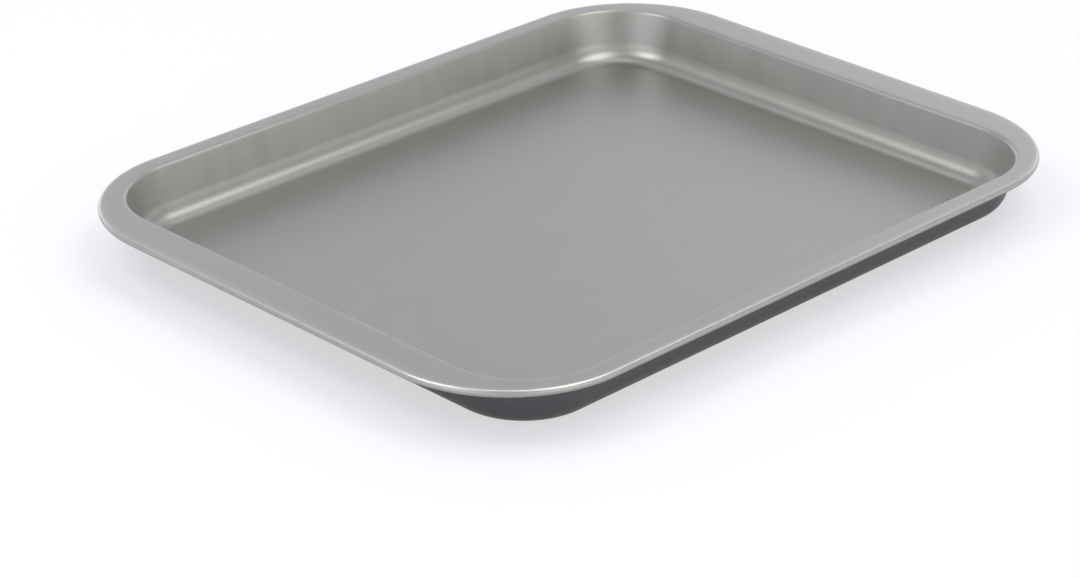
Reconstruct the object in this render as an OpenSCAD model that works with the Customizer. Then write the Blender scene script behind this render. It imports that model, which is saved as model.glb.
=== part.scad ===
// Jelly roll pan: one coated steel blank, deep drawn to a shallow well with
// rounded corners, its wide flange curled over a loop of steel wire.
// Sizes are in millimetres. The pan stands on Z = 0 with its centre on the Z axis,
// its long side along X and its mouth up.

/* [Rim] */
// Length over the curled rim
rim_length = 380; // [330:1:430]
// Width over the curled rim
rim_width = 297; // [250:1:340]
// Corner radius of the rim, at its outer edge
rim_corner_radius = 62; // [50:1:70]
// Width of the flange at each short end, from the rim's edge to the mouth
end_flange = 19.5; // [14:0.5:26]
// Width of the flange along each long side, from the rim's edge to the mouth
side_flange = 10.5; // [8:0.5:20]

/* [Well] */
// Height from the surface that the pan stands on to the top of its flange
pan_height = 25.4; // [18:0.2:50]
// Corner radius of the mouth, where wall and flange would meet if they weren't rounded
mouth_corner_radius = 39; // [34:1:50]
// Lean of the wall from upright, in degrees
wall_draft = 12; // [5:0.5:18]
// Radius of the bend between base and wall, on the inside of the pan
base_bend_radius = 11; // [4:0.5:12]
// Radius of the bend between wall and flange, on the upper side
lip_bend_radius = 2; // [1.5:0.1:4]

/* [Sheet] */
// Thickness of the steel sheet
steel_thickness = 0.6; // [0.4:0.05:0.8]
// Thickness of the release coating on the upper side
inner_coat_thickness = 0.1; // [0.05:0.01:0.15]
// Thickness of the lacquer on the underside
outer_coat_thickness = 0.1; // [0.05:0.01:0.15]

/* [Wired edge] */
// Diameter of the wire inside the curl
wire_diameter = 1.6; // [1.2:0.1:3]
// Clearance all round between the wire and the curl
wire_clearance = 0.05; // [0.02:0.01:0.2]
// How far the sheet wraps round the wire, in degrees
curl_wrap = 285; // [200:5:290]
// Gap between the two ends of the wire
wire_gap = 1.5; // [0.5:0.1:5]

/* [Hidden] */
$fn = 96;

// Depths in the sheet, down from its upper side: release coating, steel, lacquer
steel_top = inner_coat_thickness;
steel_bottom = steel_top + steel_thickness;
sheet_thickness = steel_bottom + outer_coat_thickness;

// Curl: its centre line is the wire's
wire_radius = wire_diameter / 2;
curl_radius = wire_radius + wire_clearance + sheet_thickness;
curl_height = pan_height - curl_radius;

// Wall and its two bends, with X as the distance out from the mouth line
wall_angle = 90 - wall_draft;
wall_height = pan_height - sheet_thickness;
lip_out = lip_bend_radius * tan(wall_angle / 2);
base_out = -wall_height / tan(wall_angle) - base_bend_radius * tan(wall_angle / 2);
lip_centre = [lip_out, pan_height - lip_bend_radius];
base_centre = [base_out, sheet_thickness + base_bend_radius];

// Flat strip that the swept wall and curl carry on into the base and the flange
land = 2 * sheet_thickness;
// Surplus on the radius of a bend, so that its arc always runs into the flats beside it
arc_surplus = sheet_thickness / 4000;

// Mouth: the flange is wider at the short ends, where the pan is held
mouth_length = rim_length - 2 * end_flange;
mouth_width = rim_width - 2 * side_flange;

steel_colour = "silver";
inner_coat_colour = [0.60, 0.60, 0.61];
outer_coat_colour = [0.29, 0.29, 0.30];
wire_colour = "lightsteelblue";

// Rounded rectangle with true arcs at its corners
module rounded_rectangle(length, width, radius) {
    square([length - 2 * radius, width], center = true);
    square([length, width - 2 * radius], center = true);
    for (sx = [-1, 1], sy = [-1, 1])
        translate([sx * (length / 2 - radius), sy * (width / 2 - radius)])
            circle(radius);
}

// Sweeps a cross-section round a rounded rectangle. In the section X runs
// outwards from the rectangle's edge and Y runs up.
module sweep_round(length, width, radius) {
    half_x = length / 2 - radius;
    half_y = width / 2 - radius;
    corners = [[half_x, half_y], [-half_x, half_y], [-half_x, -half_y], [half_x, -half_y]];
    for (i = [0:3]) {
        run = i % 2 == 0 ? 2 * half_x : 2 * half_y;
        translate(corners[i])
            rotate([0, 0, 90 * i]) {
                rotate_extrude(angle = 90)
                    translate([radius, 0])
                        children();
                translate([-run, radius, 0])
                    rotate([90, 0, 90])
                        linear_extrude(run)
                            children();
            }
    }
}

// Cross-section of all that lies above one depth in the sheet, from well inside the
// base across the wall to the flange, with a margin past its outer end
module space_above(depth, margin) {
    inner = base_out - 2 * base_bend_radius - margin;
    outer = lip_out + land + margin;
    top = pan_height + margin;
    base_arc = base_bend_radius + depth;
    lip_arc = lip_bend_radius - depth;
    across = [sin(wall_angle), -cos(wall_angle)];
    difference() {
        union() {
            polygon([
                [inner, sheet_thickness - depth],
                [base_out, sheet_thickness - depth],
                base_centre + base_arc * across,
                lip_centre - lip_arc * across,
                [lip_out, pan_height - depth],
                [outer, pan_height - depth],
                [outer, top],
                [inner, top]
            ]);
            translate(base_centre)
                circle(base_arc + arc_surplus);
        }
        translate(lip_centre)
            circle(lip_arc + arc_surplus);
    }
}

// Cross-section of base bend, wall and lip bend for the layer between two depths in the sheet
module wall_section(top, bottom) {
    intersection() {
        difference() {
            space_above(bottom, sheet_thickness);
            space_above(top, 2 * sheet_thickness);
        }
        translate([base_out - land, -sheet_thickness])
            square([lip_out - base_out + 2 * land, pan_height + 2 * sheet_thickness]);
    }
}

// Cross-section of the curl round the wire, with the flange that runs into it
module curl_section(top, bottom) {
    reach = 2 * curl_radius;
    raw_edge = 90 - curl_wrap;
    translate([-curl_radius, curl_height]) {
        difference() {
            circle(curl_radius - top);
            circle(curl_radius - bottom);
            // Open side of the curl, from its start round to the raw edge
            polygon([
                [0, 0],
                [0, reach],
                [-reach, reach],
                reach * [cos(raw_edge), sin(raw_edge)]
            ]);
        }
        translate([-land, curl_radius - bottom])
            square([land, bottom - top]);
    }
}

// One layer of the drawn and curled blank, between two depths in the sheet
module drawn_layer(top, bottom) {
    thickness = bottom - top;
    base_edge = base_out - land / 2;
    flange_inner = lip_out + land / 2;
    flange_outer = curl_radius + land / 2;
    // Flat base
    translate([0, 0, sheet_thickness - bottom])
        linear_extrude(thickness)
            rounded_rectangle(mouth_length + 2 * base_edge, mouth_width + 2 * base_edge,
                mouth_corner_radius + base_edge);
    // Wall with its bends
    sweep_round(mouth_length, mouth_width, mouth_corner_radius)
        wall_section(top, bottom);
    // Flange
    translate([0, 0, pan_height - bottom])
        linear_extrude(thickness)
            difference() {
                rounded_rectangle(rim_length - 2 * flange_outer, rim_width - 2 * flange_outer,
                    rim_corner_radius - flange_outer);
                rounded_rectangle(mouth_length + 2 * flange_inner, mouth_width + 2 * flange_inner,
                    mouth_corner_radius + flange_inner);
            }
    // Curled edge
    sweep_round(rim_length, rim_width, rim_corner_radius)
        curl_section(top, bottom);
}

module steel_shell() {
    color(steel_colour)
        drawn_layer(steel_top, steel_bottom);
}

// Satin release coating: well, flange top and the outside of the curl
module inner_coating() {
    color(inner_coat_colour)
        drawn_layer(0, steel_top);
}

// Dark lacquer: underside of base, wall and flange, and the inside of the curl
module outer_coating() {
    color(outer_coat_colour)
        drawn_layer(steel_bottom, sheet_thickness);
}

// Wire bent to the rim's outline, its ends meeting in the middle of a long side
module rim_wire() {
    color(wire_colour)
        difference() {
            sweep_round(rim_length - 2 * curl_radius, rim_width - 2 * curl_radius,
                rim_corner_radius - curl_radius)
                translate([0, curl_height])
                    circle(wire_radius);
            translate([0, rim_width / 2 - curl_radius, curl_height])
                cube([wire_gap, 2 * wire_diameter, 2 * wire_diameter], center = true);
        }
}

steel_shell();
inner_coating();
outer_coating();
rim_wire();
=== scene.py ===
"""Studio scene for a jelly roll pan: the drawn and curled sheet, its coatings and its floor."""

import math

import bpy
from bpy.props import FloatProperty, FloatVectorProperty, IntProperty, PointerProperty
from bpy.types import NodeSocket, Operator, Panel, PropertyGroup
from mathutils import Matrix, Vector


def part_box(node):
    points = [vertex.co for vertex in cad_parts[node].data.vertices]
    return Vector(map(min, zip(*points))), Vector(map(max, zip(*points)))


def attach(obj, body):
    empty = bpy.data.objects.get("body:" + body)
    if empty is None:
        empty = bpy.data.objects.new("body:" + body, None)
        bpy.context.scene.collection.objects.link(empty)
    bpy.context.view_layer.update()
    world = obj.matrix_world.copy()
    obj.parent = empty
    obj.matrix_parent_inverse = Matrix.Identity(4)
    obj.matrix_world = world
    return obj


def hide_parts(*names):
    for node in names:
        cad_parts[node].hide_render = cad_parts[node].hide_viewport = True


bl_info = {
    "name": "Jelly Roll Pan",
    "version": (1, 0, 0),
    "blender": (4, 5, 0),
    "location": "3D View > Sidebar > Jelly Roll Pan",
    "description": "Dresses a coated steel jelly roll pan and sets it in a plain studio",
    "category": "Object",
}

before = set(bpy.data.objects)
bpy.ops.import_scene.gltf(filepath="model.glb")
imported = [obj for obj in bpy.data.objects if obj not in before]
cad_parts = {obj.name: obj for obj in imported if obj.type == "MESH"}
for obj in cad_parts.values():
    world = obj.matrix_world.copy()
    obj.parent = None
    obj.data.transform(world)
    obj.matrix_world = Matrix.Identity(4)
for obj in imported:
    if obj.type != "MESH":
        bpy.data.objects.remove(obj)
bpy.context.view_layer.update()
MM = 0.001
ROOT = "root"


def linear(hex_colour):
    """An sRGB hex colour as linear red, green and blue."""
    channels = [int(hex_colour[i:i + 2], 16) / 255 for i in (1, 3, 5)]
    return tuple(c / 12.92 if c <= 0.04045 else ((c + 0.055) / 1.055) ** 2.4 for c in channels)


# Sizes and colours that a user would change

LOW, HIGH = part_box("inner_coating")
RIM_LENGTH, RIM_WIDTH, PAN_HEIGHT = HIGH.x - LOW.x, HIGH.y - LOW.y, HIGH.z


def length_property(name, description, default):
    """A size in metres, shown in the scene's own length unit."""
    return FloatProperty(
        name=name, description=description, default=default, min=0.0, unit="LENGTH", precision=5
    )


def angle_property(name, description, degrees):
    """An angle, kept in radians and shown in degrees."""
    return FloatProperty(
        name=name, description=description, default=math.radians(degrees), subtype="ANGLE"
    )


def colour_property(name, description, hex_colour):
    """A colour, kept as linear values."""
    return FloatVectorProperty(
        name=name, description=description, default=linear(hex_colour), subtype="COLOR"
    )


class PanSizes(PropertyGroup):
    """The drawn sheet's sizes, the same as the solid model's."""

    rim_length: length_property("Rim length", "Length over the curled rim", round(RIM_LENGTH, 5))
    rim_width: length_property("Rim width", "Width over the curled rim", round(RIM_WIDTH, 5))
    rim_corner: length_property("Rim corner", "Corner radius of the rim at its outer edge", 62 * MM)
    end_flange: length_property("End flange", "Flange width at each short end", 19.5 * MM)
    side_flange: length_property("Side flange", "Flange width along each long side", 10.5 * MM)
    height: length_property("Height", "From the underside to the flange's top", round(PAN_HEIGHT, 5))
    mouth_corner: length_property("Mouth corner", "Corner radius of the mouth", 39 * MM)
    wall_angle: angle_property("Wall angle", "Slope of the wall from level", 78)
    base_bend: length_property("Base bend", "Inside radius of the bend between base and wall", 11 * MM)
    lip_bend: length_property("Lip bend", "Upper radius of the bend between wall and flange", 2 * MM)
    sheet: length_property("Sheet", "Thickness of the steel with its coatings", 0.8 * MM)
    coat: length_property("Coat", "Thickness of each coating", 0.1 * MM)
    curl_radius: length_property("Curl radius", "Outer radius of the curl round the wire", 1.65 * MM)
    curl_wrap: angle_property("Curl wrap", "How far the sheet wraps the wire", 285)
    corner_steps: IntProperty(
        name="Corner steps", description="Mesh steps round each corner", default=40, min=4
    )
    bend_steps: IntProperty(
        name="Bend steps", description="Mesh steps across the base bend", default=20, min=4
    )


class PanFinish(PropertyGroup):
    """Colours of the pan's finishes and of the studio floor."""

    coating: colour_property("Release coating", "Metallic grey of the inside", "#a1a29d")
    lacquer: colour_property("Outside lacquer", "Dark grey of the outside", "#424244")
    steel: colour_property("Steel", "Bare cold-rolled steel at the cut edge", "#c4c3c0")
    wire: colour_property("Wire", "Drawn steel wire in the rim", "#b9b9b8")
    floor: colour_property("Floor", "Matt white studio floor", "#eff1f6")


# Mesh of the drawn sheet

# Mesh rings on the flat base, as shares of its reach, and on the flange, as shares of its width
BASE_SHARES = (0.35, 0.7, 0.9)
FLANGE_SHARES = (0.25, 0.5, 0.75)
# Faces that meet at more than this, such as those at the raw edge, stay sharp
SHARP_ANGLE = math.radians(40)
# A painted highlight on the crest of the curl: how far round from the top, and how far it spreads
CREST_TURN, CREST_SPREAD = math.radians(30), math.radians(25)


def arc(centre, radius, start, end, steps):
    """Points on an arc, both ends included."""
    turns = [start + (end - start) * i / steps for i in range(steps + 1)]
    return [(centre[0] + radius * math.cos(a), centre[1] + radius * math.sin(a)) for a in turns]


def well_section(sizes, depth):
    """Base bend, wall and lip bend at a depth in the sheet: distance out from the mouth, and height."""
    tangent = math.tan(sizes.wall_angle / 2)
    drop = sizes.height - sizes.sheet
    foot = -drop / math.tan(sizes.wall_angle)
    base = (foot - sizes.base_bend * tangent, sizes.sheet + sizes.base_bend)
    lip = (sizes.lip_bend * tangent, sizes.height - sizes.lip_bend)
    down, level = -math.pi / 2, math.pi / 2
    bend = arc(base, sizes.base_bend + depth, down, down + sizes.wall_angle, sizes.bend_steps)
    fold_steps = sizes.bend_steps // 2
    fold = arc(lip, sizes.lip_bend - depth, level + sizes.wall_angle, level, fold_steps)
    return bend + fold


def curl_section(sizes, depth):
    """The curl at a depth in the sheet: distance out from the rim's outer edge, and height."""
    centre = (-sizes.curl_radius, sizes.height - sizes.curl_radius)
    top = math.pi / 2
    return arc(centre, sizes.curl_radius - depth, top, top - sizes.curl_wrap, 2 * sizes.bend_steps)


def outline(length, width, radius, steps):
    """Points round a rounded rectangle: an arc at each corner and even steps along each side."""
    quadrants = [(1, 1), (-1, 1), (-1, -1), (1, -1)]
    centres = [(sx * (length / 2 - radius), sy * (width / 2 - radius)) for sx, sy in quadrants]
    side_steps = steps // 2
    points = []
    for i, centre in enumerate(centres):
        corner = arc(centre, radius, i * math.pi / 2, (i + 1) * math.pi / 2, steps)
        start, following = corner[-1], centres[(i + 1) % 4]
        shift = (following[0] - centre[0], following[1] - centre[1])
        points += corner
        points += [
            (start[0] + shift[0] * k / side_steps, start[1] + shift[1] * k / side_steps)
            for k in range(1, side_steps)
        ]
    return points


def offset_ring(length, width, radius, out, height, steps):
    """A ring of points at a height, a distance out from a rounded rectangle."""
    return [(x, y, height) for x, y in outline(length + 2 * out, width + 2 * out, radius + out, steps)]


def sheet_rings(sizes, depth):
    """Rings of points over one surface of the sheet, from the base out to the raw edge of the curl."""
    mouth_length = sizes.rim_length - 2 * sizes.end_flange
    mouth_width = sizes.rim_width - 2 * sizes.side_flange
    mouth = (mouth_length, mouth_width, sizes.mouth_corner)
    rim = (sizes.rim_length, sizes.rim_width, sizes.rim_corner)
    well = [offset_ring(*mouth, *place, sizes.corner_steps) for place in well_section(sizes, depth)]
    curl = [offset_ring(*rim, *place, sizes.corner_steps) for place in curl_section(sizes, depth)]
    base = [[(x * share, y * share, z) for x, y, z in well[0]] for share in BASE_SHARES]
    flange = [
        [(x + (far_x - x) * share, y + (far_y - y) * share, z)
         for (x, y, z), (far_x, far_y, _) in zip(well[-1], curl[0])]
        for share in FLANGE_SHARES
    ]
    return base + well + flange + curl


def paint_crest_highlight(mesh, sizes, surface_rings, count):
    """Writes the painted crest highlight as an attribute on the upper surface's curl, from 0 to 1 at
    its crest.
    """
    painted_crest_highlight = mesh.attributes.new("painted_crest_highlight", "FLOAT", "POINT")
    curl_steps = 2 * sizes.bend_steps
    for step in range(curl_steps + 1):
        turned = sizes.curl_wrap * step / curl_steps
        # Painted highlight: strongest at the crest, fading round the curl either way
        highlight_share = math.exp(-((turned - CREST_TURN) / CREST_SPREAD) ** 2)
        ring = surface_rings - 1 - curl_steps + step
        for point in painted_crest_highlight.data[ring * count:(ring + 1) * count]:
            point.value = highlight_share


def sheet_layer(name, sizes, top, bottom):
    """A closed mesh of the sheet between two depths."""
    upper, lower = sheet_rings(sizes, top), sheet_rings(sizes, bottom)
    rings = upper + lower[::-1]
    count = len(rings[0])
    points = [p for ring in rings for p in ring]
    faces = [tuple(range(count))]
    for i in range(len(rings) - 1):
        a, b = i * count, (i + 1) * count
        faces += [(a + k, b + k, b + (k + 1) % count, a + (k + 1) % count) for k in range(count)]
    end = (len(rings) - 1) * count
    faces.append(tuple(end + k for k in reversed(range(count))))
    mesh = bpy.data.meshes.new(name)
    mesh.from_pydata(points, [], faces)
    paint_crest_highlight(mesh, sizes, len(upper), count)
    mesh.update()
    mesh.shade_smooth()
    mesh.set_sharp_from_angle(angle=SHARP_ANGLE)
    piece = bpy.data.objects.new(name, mesh)
    bpy.context.scene.collection.objects.link(piece)
    return piece


# Materials

# Each pattern has its size in millimetres. VALUE and ROUGHNESS say how much it changes the
# coating's brightness and roughness, from its darkest to its lightest places.
# Aluminium flake is about 0.03 mm across. It is drawn coarser, or the render would not show it.
FLAKE = 0.7 * MM
FLAKE_VALUE = 0.04
FLAKE_RELIEF = 0.04 * MM
# Clouds of thicker and thinner film, left by the coating rollers
MOTTLE = 14 * MM
MOTTLE_VALUE = 0.05
MOTTLE_ROUGHNESS = 0.04
# Streaks that drawing leaves on the walls, longer up the wall than across it. They change the
# value and the roughness by this much both ways.
STREAK = 12 * MM
STREAK_STRETCH = 0.12
STREAK_VALUE = 0.045
STREAK_ROUGHNESS = 0.02
# The coating's roughness stays above 0.28 all over: renders show dark lines where it crosses 0.27.
COATING_ROUGHNESS = 0.32
WALL_ROUGHNESS = 0.46
# How far the normal points up is 1 on level sheet and about 0.2 on the walls. The finish turns
# into that of the walls between the first two. Between the others the coating is painted brighter,
# by the first gain, as painted light on the walls and bends. The second gain is a painted highlight
# on the crest of the curl.
WALL_FROM, WALL_TO = 0.85, 0.35
PAINTED_LIGHT_FROM, PAINTED_LIGHT_TO = 0.98, 0.25
PAINTED_LIGHT_GAIN = 1.05
CREST_HIGHLIGHT_GAIN = 0.5
# Orange peel of a rolled lacquer film is 1 to 3 mm across.
PEEL = 1.5 * MM
PEEL_RELIEF = 0.05 * MM
# The mottle changes the lacquer's value and roughness by this much.
LACQUER_VALUE = 0.12
LACQUER_ROUGHNESS = 0.38
LACQUER_ROUGHNESS_RANGE = 0.08
# Grain of rolled sheet and of drawn wire, and how much it changes their value and roughness
SHEET_GRAIN = 0.3 * MM
SHEET_ROUGHNESS = 0.35
WIRE_GRAIN = 0.2 * MM
WIRE_ROUGHNESS = 0.25
GRAIN_RANGE = 0.2
GRAIN_RELIEF = 0.02 * MM


def node(tree, kind, settings=None):
    """Adds a shader node. Its settings are properties, or inputs by name or number. A setting that
    is another node's output is linked."""
    made = tree.nodes.new(kind)
    for key, value in (settings or {}).items():
        if isinstance(value, NodeSocket):
            tree.links.new(value, made.inputs[key])
        elif isinstance(key, str) and hasattr(made, key):
            setattr(made, key, value)
        else:
            made.inputs[key].default_value = value
    return made


def new_material(name):
    """An empty material and its node tree."""
    material = bpy.data.materials.new(name)
    material.use_nodes = True
    material.node_tree.nodes.clear()
    return material, material.node_tree


def release_coating(colour):
    """Silicone release coating with aluminium flake, roller-coated on the coil before drawing.
    The flake makes it a satin metal, which mirrors the walls softly in the base. Drawing has stretched
    it up the walls, where it is streaked and rougher. There and on the bends it is painted a little
    brighter as painted light, and the crest of the curl carries a painted highlight."""
    material, tree = new_material("metallic_grey_release_coating")
    place = node(tree, "ShaderNodeTexCoord").outputs["Object"]
    normal = node(tree, "ShaderNodeNewGeometry").outputs["Normal"]
    up = node(tree, "ShaderNodeSeparateXYZ", {"Vector": normal}).outputs["Z"]
    wall = node(tree, "ShaderNodeMapRange", {
        "interpolation_type": "SMOOTHSTEP", "Value": up, "From Min": WALL_FROM, "From Max": WALL_TO,
    }).outputs["Result"]
    flake = node(tree, "ShaderNodeTexNoise", {
        "Vector": place, "Scale": 1 / FLAKE, "Detail": 2.0, "Roughness": 0.6,
    }).outputs["Fac"]
    mottle = node(tree, "ShaderNodeTexNoise", {
        "Vector": place, "Scale": 1 / MOTTLE, "Detail": 3.0, "Roughness": 0.5,
    }).outputs["Fac"]
    tall = node(tree, "ShaderNodeMapping", {
        "Vector": place, "Scale": (1, 1, STREAK_STRETCH),
    }).outputs["Vector"]
    dragged = node(tree, "ShaderNodeTexNoise", {
        "Vector": tall, "Scale": 1 / STREAK, "Detail": 2.0, "Roughness": 0.5,
    }).outputs["Fac"]
    even = node(tree, "ShaderNodeMapRange", {
        "Value": dragged, "From Min": 0.3, "From Max": 0.7, "To Min": -1.0, "To Max": 1.0,
    }).outputs["Result"]
    streak = node(tree, "ShaderNodeMath", {"operation": "MULTIPLY", 0: even, 1: wall}).outputs[0]
    # Value: flake and mottle everywhere, streaks on the walls
    flaked = node(tree, "ShaderNodeMath", {
        "operation": "MULTIPLY_ADD", 0: flake, 1: FLAKE_VALUE, 2: 1 - (FLAKE_VALUE + MOTTLE_VALUE) / 2,
    }).outputs[0]
    clouded = node(tree, "ShaderNodeMath", {
        "operation": "MULTIPLY_ADD", 0: mottle, 1: MOTTLE_VALUE, 2: flaked,
    }).outputs[0]
    value = node(tree, "ShaderNodeMath", {
        "operation": "MULTIPLY_ADD", 0: streak, 1: STREAK_VALUE, 2: clouded,
    }).outputs[0]
    # Gain: painted light on the walls and bends, and a painted highlight on the crest of the curl
    drawn = node(tree, "ShaderNodeMapRange", {
        "Value": up, "From Min": PAINTED_LIGHT_FROM, "From Max": PAINTED_LIGHT_TO, "To Min": 1.0, "To Max": PAINTED_LIGHT_GAIN,
    }).outputs["Result"]
    painted_crest_highlight = node(tree, "ShaderNodeAttribute", {"attribute_name": "painted_crest_highlight"}).outputs["Fac"]
    gain = node(tree, "ShaderNodeMath", {
        "operation": "MULTIPLY_ADD", 0: painted_crest_highlight, 1: CREST_HIGHLIGHT_GAIN, 2: drawn,
    }).outputs[0]
    bright = node(tree, "ShaderNodeMath", {"operation": "MULTIPLY", 0: value, 1: gain}).outputs[0]
    tint = node(tree, "ShaderNodeVectorMath", {
        "operation": "SCALE", 0: colour, "Scale": bright,
    }).outputs[0]
    # Roughness: mottle everywhere, and rougher and streaked on the walls
    patchy = node(tree, "ShaderNodeMath", {
        "operation": "MULTIPLY_ADD",
        0: mottle, 1: MOTTLE_ROUGHNESS, 2: COATING_ROUGHNESS - MOTTLE_ROUGHNESS / 2,
    }).outputs[0]
    stretched = node(tree, "ShaderNodeMath", {
        "operation": "MULTIPLY_ADD", 0: wall, 1: WALL_ROUGHNESS - COATING_ROUGHNESS, 2: patchy,
    }).outputs[0]
    rough = node(tree, "ShaderNodeMath", {
        "operation": "MULTIPLY_ADD", 0: streak, 1: STREAK_ROUGHNESS, 2: stretched,
    }).outputs[0]
    bump = node(tree, "ShaderNodeBump", {"Strength": 0.08, "Distance": FLAKE_RELIEF, "Height": flake})
    shader = node(tree, "ShaderNodeBsdfPrincipled", {
        "Metallic": 0.92, "Base Color": tint, "Roughness": rough, "Normal": bump.outputs["Normal"],
    })
    node(tree, "ShaderNodeOutputMaterial", {"Surface": shader.outputs["BSDF"]})
    return material


def outside_lacquer(colour):
    """Dark grey polyester lacquer, roller-coated and baked: satin, with a faint orange peel."""
    material, tree = new_material("dark_grey_baked_lacquer")
    place = node(tree, "ShaderNodeTexCoord").outputs["Object"]
    peel = node(tree, "ShaderNodeTexNoise", {
        "Vector": place, "Scale": 1 / PEEL, "Detail": 2.0, "Roughness": 0.5,
    }).outputs["Fac"]
    mottle = node(tree, "ShaderNodeTexNoise", {
        "Vector": place, "Scale": 1 / MOTTLE, "Detail": 3.0,
    }).outputs["Fac"]
    value = node(tree, "ShaderNodeMath", {
        "operation": "MULTIPLY_ADD", 0: mottle, 1: LACQUER_VALUE, 2: 1 - LACQUER_VALUE / 2,
    }).outputs[0]
    tint = node(tree, "ShaderNodeVectorMath", {
        "operation": "SCALE", 0: colour, "Scale": value,
    }).outputs[0]
    rough = node(tree, "ShaderNodeMath", {
        "operation": "MULTIPLY_ADD",
        0: mottle, 1: LACQUER_ROUGHNESS_RANGE, 2: LACQUER_ROUGHNESS - LACQUER_ROUGHNESS_RANGE / 2,
    }).outputs[0]
    bump = node(tree, "ShaderNodeBump", {"Strength": 0.2, "Distance": PEEL_RELIEF, "Height": peel})
    shader = node(tree, "ShaderNodeBsdfPrincipled", {
        "Metallic": 0.0, "Base Color": tint, "Roughness": rough, "Normal": bump.outputs["Normal"],
    })
    node(tree, "ShaderNodeOutputMaterial", {"Surface": shader.outputs["BSDF"]})
    return material


def bare_steel(name, colour, roughness, grain):
    """Bare low-carbon steel, bright, with the fine matt grain that rolling or wire drawing leaves."""
    material, tree = new_material(name)
    place = node(tree, "ShaderNodeTexCoord").outputs["Object"]
    speckle = node(tree, "ShaderNodeTexNoise", {
        "Vector": place, "Scale": 1 / grain, "Detail": 3.0, "Roughness": 0.6,
    }).outputs["Fac"]
    value = node(tree, "ShaderNodeMath", {
        "operation": "MULTIPLY_ADD", 0: speckle, 1: GRAIN_RANGE, 2: 1 - GRAIN_RANGE / 2,
    }).outputs[0]
    tint = node(tree, "ShaderNodeVectorMath", {
        "operation": "SCALE", 0: colour, "Scale": value,
    }).outputs[0]
    rough = node(tree, "ShaderNodeMath", {
        "operation": "MULTIPLY_ADD", 0: speckle, 1: GRAIN_RANGE, 2: roughness - GRAIN_RANGE / 2,
    }).outputs[0]
    bump = node(tree, "ShaderNodeBump", {"Strength": 0.3, "Distance": GRAIN_RELIEF, "Height": speckle})
    shader = node(tree, "ShaderNodeBsdfPrincipled", {
        "Metallic": 1.0, "Base Color": tint, "Roughness": rough, "Normal": bump.outputs["Normal"],
    })
    node(tree, "ShaderNodeOutputMaterial", {"Surface": shader.outputs["BSDF"]})
    return material


# Pieces


class PAN_OT_release_coating(Operator):
    """Lay the metallic grey release coating over the inside, the flange and the curl"""

    bl_idname = "pan.release_coating"
    bl_label = "Release Coating"

    def execute(self, context):
        sizes, finish = context.scene.pan_sizes, context.scene.pan_finish
        piece = sheet_layer("release_coating", sizes, 0.0, sizes.coat)
        piece.data.materials.append(release_coating(finish.coating))
        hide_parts("inner_coating")
        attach(piece, ROOT)
        return {"FINISHED"}


class PAN_OT_outside_lacquer(Operator):
    """Lay the dark lacquer over the underside of the sheet"""

    bl_idname = "pan.outside_lacquer"
    bl_label = "Outside Lacquer"

    def execute(self, context):
        sizes, finish = context.scene.pan_sizes, context.scene.pan_finish
        piece = sheet_layer("outside_lacquer", sizes, sizes.sheet - sizes.coat, sizes.sheet)
        piece.data.materials.append(outside_lacquer(finish.lacquer))
        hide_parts("outer_coating")
        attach(piece, ROOT)
        return {"FINISHED"}


class PAN_OT_steel_blank(Operator):
    """Make the drawn steel between the two coatings, bare at the raw edge of the curl"""

    bl_idname = "pan.steel_blank"
    bl_label = "Steel Blank"

    def execute(self, context):
        sizes, finish = context.scene.pan_sizes, context.scene.pan_finish
        piece = sheet_layer("steel_blank", sizes, sizes.coat, sizes.sheet - sizes.coat)
        steel = bare_steel("cold_rolled_steel", finish.steel, SHEET_ROUGHNESS, SHEET_GRAIN)
        piece.data.materials.append(steel)
        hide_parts("steel_shell")
        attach(piece, ROOT)
        return {"FINISHED"}


class PAN_OT_rim_wire(Operator):
    """Finish the wire that the rim is curled round"""

    bl_idname = "pan.rim_wire"
    bl_label = "Rim Wire"

    def execute(self, context):
        finish = context.scene.pan_finish
        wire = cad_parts["rim_wire"]
        steel = bare_steel("drawn_steel_wire", finish.wire, WIRE_ROUGHNESS, WIRE_GRAIN)
        wire.data.materials.clear()
        wire.data.materials.append(steel)
        return {"FINISHED"}


# Stage

CAMERA_AT = Vector((-0.96118, -0.94236, 0.62537))
CAMERA_AIM = Vector((-0.06079, -0.03736, 0.0))
CAMERA_LENS = 108.03
CAMERA_SENSOR = 36.0
# Degrees from the X axis to the way the camera looks. Turns below are from there, positive to
# the left of the view.
VIEW_TURN = 45.15
# The floor reaches this many metres each way, and lies just clear of the underside.
FLOOR_REACH = 6.0
FLOOR_DROP = 0.02 * MM
# The floor's plain white, and its share in what the camera sees of it and in what reflections show
FLOOR_WHITE = (0.975, 0.98, 1.0)
FLOOR_FILL = 0.6
REFLECTED_FILL = 0.3
# Name, turn and rise in degrees, distance, width and height in metres, level, colour
SOFT_BOXES = (
    ("left_soft_box", 106, 55, 1.6, 0.84, 0.66, 3.45, (1.0, 0.99, 1.02)),
    ("right_soft_box", -99, 66, 1.6, 1.22, 0.72, 2.5, (1.0, 1.0, 1.0)),
)
# The room is a plain grey with patches of light, each laid over those before it: colour, level,
# turn from and to, and rise from and to, in degrees.
NEUTRAL, MILD, COOL = (1.0, 1.0, 1.0), (1.0, 0.985, 1.055), (1.0, 0.985, 1.085)
ROOM = (0.53, 0.53, 0.53)
STUDIO = (
    (COOL, 0.70, -50, 50, -90, 90),
    (COOL, 1.10, -50, -4, -90, 40),
    (COOL, 0.92, 6, 50, -90, 40),
    (NEUTRAL, 1.90, -28, 28, 52, 80),
    (COOL, 1.32, -50, 50, -90, 18),
    (COOL, 1.25, -40, 40, -90, 12),
    (NEUTRAL, 1.40, -160, -38, -90, 13),
    (MILD, 1.15, 78, 160, -90, 13),
    (MILD, 1.75, 22, 78, -90, 15),
    (NEUTRAL, 2.15, -162, -112, -90, 30),
    (MILD, 2.25, 122, 162, -90, 30),
)
# How far a patch fades each side of its edges, in degrees of turn and of rise
TURN_FADE, RISE_FADE = 6, 4


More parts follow.
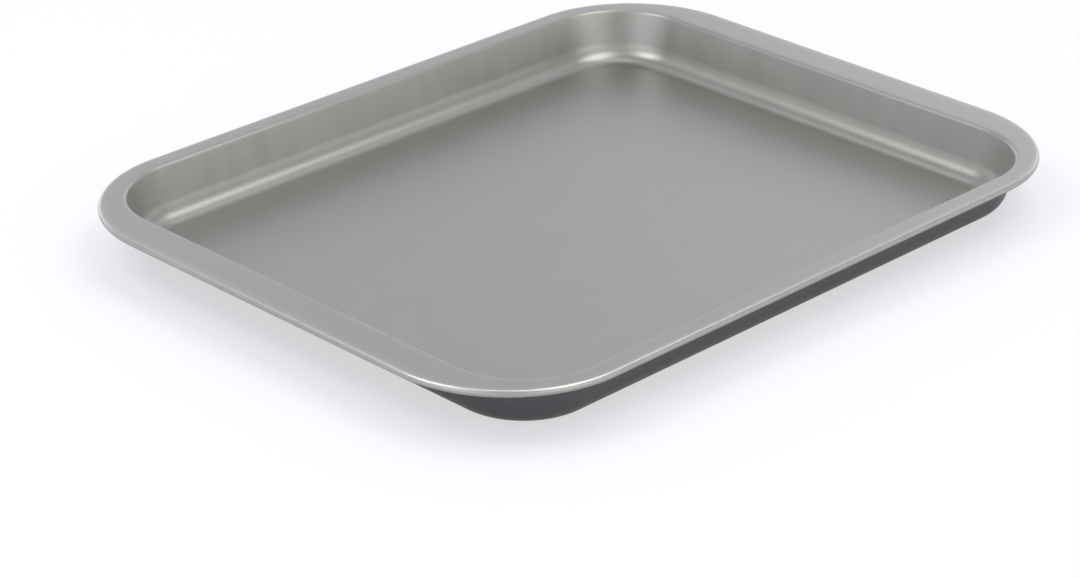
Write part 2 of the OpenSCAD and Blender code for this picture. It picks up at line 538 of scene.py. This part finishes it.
def set_camera(scene):
    """Stands the camera at the three-quarter view from above."""
    data = bpy.data.cameras.new("camera")
    data.lens, data.sensor_width, data.sensor_fit = CAMERA_LENS, CAMERA_SENSOR, "HORIZONTAL"
    camera = bpy.data.objects.new("camera", data)
    camera.location = CAMERA_AT
    camera.rotation_euler = (CAMERA_AIM - CAMERA_AT).to_track_quat("-Z", "Y").to_euler()
    scene.collection.objects.link(camera)
    scene.camera = camera


def lay_floor(scene):
    """Lays a matt floor, lifted to white for the camera and for reflections, that keeps its shadow."""
    mesh = bpy.data.meshes.new("floor")
    quadrants = ((-1, -1), (1, -1), (1, 1), (-1, 1))
    corners = [(x * FLOOR_REACH, y * FLOOR_REACH, 0) for x, y in quadrants]
    mesh.from_pydata(corners, [], [(0, 1, 2, 3)])
    floor = bpy.data.objects.new("floor", mesh)
    floor.location.z = -FLOOR_DROP
    scene.collection.objects.link(floor)
    material, tree = new_material("matt_white_floor")
    matt = node(tree, "ShaderNodeBsdfDiffuse", {"Color": (*scene.pan_finish.floor, 1)}).outputs[0]
    white = node(tree, "ShaderNodeEmission", {
        "Color": (*FLOOR_WHITE, 1), "Strength": 1.0,
    }).outputs[0]
    ray = node(tree, "ShaderNodeLightPath").outputs
    reflected = node(tree, "ShaderNodeMath", {
        "operation": "MAXIMUM", 0: ray["Is Glossy Ray"], 1: ray["Is Transmission Ray"],
    }).outputs[0]
    seen = node(tree, "ShaderNodeMath", {
        "operation": "MULTIPLY", 0: ray["Is Camera Ray"], 1: FLOOR_FILL,
    }).outputs[0]
    share = node(tree, "ShaderNodeMath", {
        "operation": "MULTIPLY_ADD", 0: reflected, 1: REFLECTED_FILL, 2: seen,
    }).outputs[0]
    mixed = node(tree, "ShaderNodeMixShader", {"Fac": share, 1: matt, 2: white})
    node(tree, "ShaderNodeOutputMaterial", {"Surface": mixed.outputs[0]})
    mesh.materials.append(material)


def hang_soft_boxes(scene):
    """Hangs the two soft boxes, each facing the pan."""
    for name, turn, rise, distance, width, height, level, colour in SOFT_BOXES:
        lamp = bpy.data.lights.new(name, "AREA")
        lamp.shape, lamp.size, lamp.size_y = "RECTANGLE", width, height
        lamp.energy, lamp.color = level * math.pi * width * height, colour
        turn, rise = math.radians(VIEW_TURN + turn), math.radians(rise)
        holder = bpy.data.objects.new(name, lamp)
        holder.location = distance * Vector(
            (math.cos(rise) * math.cos(turn), math.cos(rise) * math.sin(turn), math.sin(rise))
        )
        holder.rotation_euler = (-holder.location).to_track_quat("-Z", "Y").to_euler()
        scene.collection.objects.link(holder)


def patch_mask(tree, turn, rise, bounds):
    """How much of a patch of light lies in a direction: 1 inside it, fading to 0 outside."""
    start, end, bottom, top = bounds
    edges = (
        (turn, start, TURN_FADE), (turn, end, -TURN_FADE),
        (rise, bottom, RISE_FADE), (rise, top, -RISE_FADE),
    )
    mask, *others = [
        node(tree, "ShaderNodeMapRange", {
            "interpolation_type": "SMOOTHSTEP", "Value": angle,
            "From Min": math.radians(place - fade), "From Max": math.radians(place + fade),
        }).outputs["Result"]
        for angle, place, fade in edges
    ]
    for other in others:
        mask = node(tree, "ShaderNodeMath", {"operation": "MULTIPLY", 0: mask, 1: other}).outputs[0]
    return mask


def light_room(scene):
    """Lights the room round the pan with its patches, which the coating mirrors."""
    world = bpy.data.worlds.new("studio")
    scene.world = world
    world.use_nodes = True
    tree = world.node_tree
    tree.nodes.clear()
    ahead = math.radians(VIEW_TURN)
    axes = (
        (math.cos(ahead), math.sin(ahead), 0), (-math.sin(ahead), math.cos(ahead), 0), (0, 0, 1),
    )
    direction = node(tree, "ShaderNodeTexCoord").outputs["Generated"]
    forward, left, up = [
        node(tree, "ShaderNodeVectorMath", {
            "operation": "DOT_PRODUCT", 0: direction, 1: axis,
        }).outputs["Value"]
        for axis in axes
    ]
    turn = node(tree, "ShaderNodeMath", {"operation": "ARCTAN2", 0: left, 1: forward}).outputs[0]
    rise = node(tree, "ShaderNodeMath", {"operation": "ARCSINE", 0: up}).outputs[0]
    light = (*ROOM, 1)
    for colour, level, *bounds in STUDIO:
        patch = (*(level * c for c in colour), 1)
        # Inputs 6 and 7 of this node are its two colours, and output 2 is its colour
        light = node(tree, "ShaderNodeMix", {
            "data_type": "RGBA", "Factor": patch_mask(tree, turn, rise, bounds), 6: light, 7: patch,
        }).outputs[2]
    background = node(tree, "ShaderNodeBackground", {"Strength": 1.0, "Color": light})
    node(tree, "ShaderNodeOutputWorld", {"Surface": background.outputs["Background"]})


class PAN_OT_studio(Operator):
    """Set the floor, the lights and the camera"""

    bl_idname = "pan.studio"
    bl_label = "Studio"

    def execute(self, context):
        scene = context.scene
        scene.view_settings.view_transform = "Standard"
        set_camera(scene)
        lay_floor(scene)
        hang_soft_boxes(scene)
        light_room(scene)
        return {"FINISHED"}


class PAN_PT_sidebar(Panel):
    """Lists the pan's pieces, sizes and colours"""

    bl_idname = "PAN_PT_sidebar"
    bl_label = "Jelly Roll Pan"
    bl_space_type = "VIEW_3D"
    bl_region_type = "UI"
    bl_category = "Jelly Roll Pan"

    def draw(self, context):
        layout = self.layout
        for operator in OPERATORS:
            layout.operator(operator.bl_idname)
        for group in (context.scene.pan_sizes, context.scene.pan_finish):
            box = layout.box()
            for key in group.__annotations__:
                box.prop(group, key)


OPERATORS = (
    PAN_OT_release_coating, PAN_OT_outside_lacquer, PAN_OT_steel_blank, PAN_OT_rim_wire, PAN_OT_studio,
)
CLASSES = (PanSizes, PanFinish, *OPERATORS, PAN_PT_sidebar)


def register():
    """Registers the classes, and gives the scene its sizes and colours."""
    for cls in CLASSES:
        bpy.utils.register_class(cls)
    bpy.types.Scene.pan_sizes = PointerProperty(type=PanSizes)
    bpy.types.Scene.pan_finish = PointerProperty(type=PanFinish)


def unregister():
    """Takes away what register() added."""
    del bpy.types.Scene.pan_finish
    del bpy.types.Scene.pan_sizes
    for cls in reversed(CLASSES):
        bpy.utils.unregister_class(cls)


def main():
    register()
    bpy.ops.pan.release_coating()
    bpy.ops.pan.outside_lacquer()
    bpy.ops.pan.steel_blank()
    bpy.ops.pan.rim_wire()
    bpy.ops.pan.studio()


if __name__ == "__main__":
    main()
